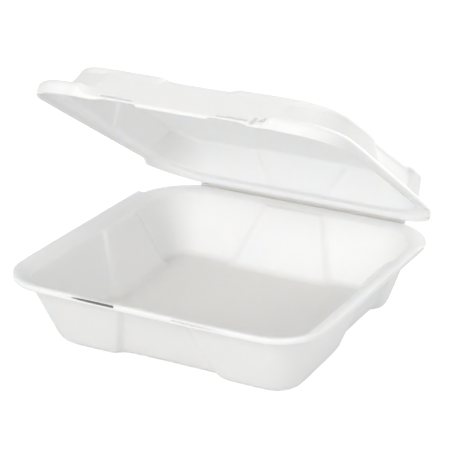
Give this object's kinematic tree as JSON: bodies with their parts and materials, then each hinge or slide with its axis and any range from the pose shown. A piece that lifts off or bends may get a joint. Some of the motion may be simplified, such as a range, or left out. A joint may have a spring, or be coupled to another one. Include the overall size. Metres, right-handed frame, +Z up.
{
  "type": "foam takeout container",
  "caption": "Square white foam takeout box with flared walls, pressed panels and a raised rim lip; its domed lid swings on a crease along the back and shuts with a front flap.",
  "frame": {"origin": "middle of the tray's underside, on the surface it stands on", "axes": "+Z up, front with the latch towards -Y, crease hinge along X at the back"},
  "size_m": [0.235, 0.2479, 0.19],
  "materials": {
    "foam": "matte white foam sheet"
  },
  "bodies": {
    "tray": {"tray": "foam"},
    "lid": {"lid": "foam"}
  },
  "joints": [
    {"name": "lid_crease", "type": "hinge", "parent": "tray", "child": "lid", "pos_m": [0, 0.1227, 0.0473], "axis": [-1, 0, 0], "range_deg": [-30.8, 145]}
  ]
}
